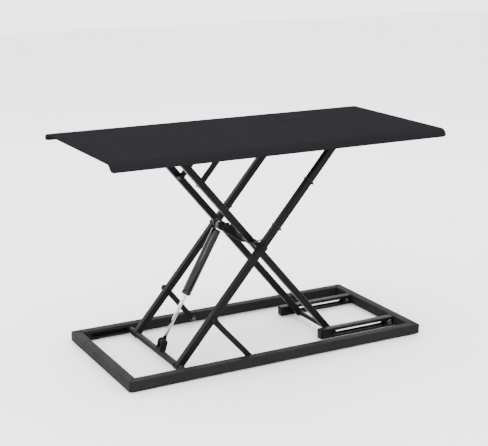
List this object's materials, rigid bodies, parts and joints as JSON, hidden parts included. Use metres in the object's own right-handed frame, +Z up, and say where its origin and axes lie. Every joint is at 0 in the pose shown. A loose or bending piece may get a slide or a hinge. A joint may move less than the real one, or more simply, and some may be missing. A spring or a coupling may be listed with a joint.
{
  "type": "standing desk converter",
  "caption": "Desktop sit-stand riser: a flat steel work surface with rolled front and rear edges, lifted by a gas-spring scissor frame on a rectangular tube base.",
  "frame": {"origin": "on the table under the middle of the base", "axes": "+X to the user's right, +Y away from the user, +Z up"},
  "size_m": [0.68, 0.322, 0.41],
  "materials": {
    "tray_coating": "fine textured matte black powder coat",
    "base_coating": "fine textured satin black powder coat",
    "black_steel": "satin black powder coat",
    "cylinder_paint": "smooth black enamel",
    "chrome_rod": "polished hard chrome",
    "zinc_plate": "bright zinc plated",
    "nylon": "satin",
    "rubber": "matte"
  },
  "bodies": {
    "base": {"base_rail_front": "base_coating", "base_rail_rear": "base_coating", "base_rail_left": "base_coating", "base_rail_right": "base_coating", "slotted_rail_front": "black_steel", "slotted_rail_rear": "black_steel", "stop_bolt_front": "zinc_plate", "stop_bolt_rear": "zinc_plate", "link_anchor_front": "zinc_plate", "link_anchor_rear": "zinc_plate", "foot_front_left": "rubber", "foot_front_right": "rubber", "foot_rear_left": "rubber", "foot_rear_right": "rubber"},
    "lower_links": {"lower_link_front": "black_steel", "lower_link_rear": "black_steel"},
    "outer_frame": {"outer_arm_front": "black_steel", "outer_arm_rear": "black_steel", "lower_link_bolt_front": "black_steel", "lower_link_bolt_rear": "black_steel", "lower_slide_shaft": "black_steel", "upper_roller_bar": "black_steel", "spring_clevis": "black_steel", "release_cable_arm": "nylon"},
    "inner_frame": {"inner_arm_front": "black_steel", "inner_arm_rear": "black_steel", "upper_link_bolt_front": "black_steel", "upper_link_bolt_rear": "black_steel", "pivot_spacer_front": "black_steel", "pivot_spacer_rear": "black_steel", "upper_slide_shaft": "black_steel", "lower_roller_bar": "black_steel", "pivot_rod": "black_steel", "spring_lever": "black_steel", "release_head": "nylon"},
    "upper_links": {"upper_link_front": "black_steel", "upper_link_rear": "black_steel"},
    "platform": {"platform_tray": "tray_coating", "under_rail_front": "black_steel", "under_rail_rear": "black_steel", "upper_slotted_rail_front": "black_steel", "upper_slotted_rail_rear": "black_steel", "upper_link_anchor_front": "black_steel", "upper_link_anchor_rear": "black_steel", "under_cross_rail": "black_steel", "lever_bracket": "black_steel", "release_cable_lever": "nylon"},
    "gas_spring_body": {"gas_spring_cylinder": "cylinder_paint", "gas_spring_eye": "zinc_plate"},
    "gas_spring_plunger": {"gas_spring_rod": "chrome_rod", "gas_spring_piston": "nylon"},
    "squeeze_lever": {"release_lever": "black_steel"},
    "lower_shaft_roller_front_body": {"lower_shaft_roller_front": "nylon"},
    "upper_shaft_roller_front_body": {"upper_shaft_roller_front": "nylon"},
    "lower_bar_roller_front_body": {"lower_bar_roller_front": "nylon"},
    "upper_bar_roller_front_body": {"upper_bar_roller_front": "nylon"},
    "lower_shaft_roller_rear_body": {"lower_shaft_roller_rear": "nylon"},
    "upper_shaft_roller_rear_body": {"upper_shaft_roller_rear": "nylon"},
    "lower_bar_roller_rear_body": {"lower_bar_roller_rear": "nylon"},
    "upper_bar_roller_rear_body": {"upper_bar_roller_rear": "nylon"}
  },
  "joints": [
    {"name": "lower_link_hinge", "type": "hinge", "parent": "base", "child": "lower_links", "pos_m": [-0.0573, 0, 0.0105], "axis": [0, -1, 0], "range_deg": [0, 46]},
    {"name": "outer_frame_hinge", "type": "hinge", "parent": "lower_links", "child": "outer_frame", "pos_m": [-0.12531, 0, 0.08997], "axis": [0, 1, 0], "range_deg": [0, 92]},
    {"name": "scissor_hinge", "type": "hinge", "parent": "outer_frame", "child": "inner_frame", "pos_m": [-0.02089, 0, 0.21199], "axis": [0, -1, 0], "range_deg": [0, 92]},
    {"name": "upper_link_hinge", "type": "hinge", "parent": "inner_frame", "child": "upper_links", "pos_m": [-0.11933, 0, 0.32702], "axis": [0, 1, 0], "range_deg": [0, 92]},
    {"name": "platform_hinge", "type": "hinge", "parent": "upper_links", "child": "platform", "pos_m": [-0.0573, 0, 0.3995], "axis": [0, -1, 0], "range_deg": [0, 46]},
    {"name": "gas_spring_hinge", "type": "hinge", "parent": "inner_frame", "child": "gas_spring_body", "pos_m": [-0.06799, -0.016, 0.24299], "axis": [0, 1, 0], "range_deg": [0, 108.49]},
    {"name": "gas_spring_slide", "type": "slide", "parent": "gas_spring_body", "child": "gas_spring_plunger", "axis": [0.4906, 0, 0.8714], "range_m": [0, 0.05241]},
    {"name": "lower_shaft_roller_front_spin", "type": "hinge", "parent": "outer_frame", "child": "lower_shaft_roller_front_body", "pos_m": [-0.19332, -0.124, 0.0105], "axis": [0, 1, 0], "continuous": true},
    {"name": "upper_shaft_roller_front_spin", "type": "hinge", "parent": "inner_frame", "child": "upper_shaft_roller_front_body", "pos_m": [-0.18136, -0.124, 0.3995], "axis": [0, 1, 0], "continuous": true},
    {"name": "lower_bar_roller_front_spin", "type": "hinge", "parent": "inner_frame", "child": "lower_bar_roller_front_body", "pos_m": [0.15154, -0.076, 0.0105], "axis": [0, 1, 0], "continuous": true},
    {"name": "upper_bar_roller_front_spin", "type": "hinge", "parent": "outer_frame", "child": "upper_bar_roller_front_body", "pos_m": [0.13958, -0.076, 0.3995], "axis": [0, 1, 0], "continuous": true},
    {"name": "lower_shaft_roller_rear_spin", "type": "hinge", "parent": "outer_frame", "child": "lower_shaft_roller_rear_body", "pos_m": [-0.19332, 0.124, 0.0105], "axis": [0, 1, 0], "continuous": true},
    {"name": "upper_shaft_roller_rear_spin", "type": "hinge", "parent": "inner_frame", "child": "upper_shaft_roller_rear_body", "pos_m": [-0.18136, 0.124, 0.3995], "axis": [0, 1, 0], "continuous": true},
    {"name": "lower_bar_roller_rear_spin", "type": "hinge", "parent": "inner_frame", "child": "lower_bar_roller_rear_body", "pos_m": [0.15154, 0.076, 0.0105], "axis": [0, 1, 0], "continuous": true},
    {"name": "upper_bar_roller_rear_spin", "type": "hinge", "parent": "outer_frame", "child": "upper_bar_roller_rear_body", "pos_m": [0.13958, 0.076, 0.3995], "axis": [0, 1, 0], "continuous": true},
    {"name": "release_lever_squeeze", "type": "hinge", "parent": "platform", "child": "squeeze_lever", "pos_m": [0.311, -0.095, 0.3985], "axis": [0, -1, 0], "range_deg": [0, 12], "stiffness_Nm_per_rad": 0.3}
  ],
  "couplings": [
    {"joint": "outer_frame_hinge", "follows": "lower_link_hinge", "ratio": 2},
    {"joint": "scissor_hinge", "follows": "lower_link_hinge", "ratio": 2},
    {"joint": "upper_link_hinge", "follows": "lower_link_hinge", "ratio": 2},
    {"joint": "platform_hinge", "follows": "lower_link_hinge", "ratio": 1},
    {"joint": "gas_spring_hinge", "follows": "lower_link_hinge", "ratio": 2.3582},
    {"joint": "gas_spring_slide", "follows": "lower_link_hinge", "m_per_rad": 0.06526}
  ]
}
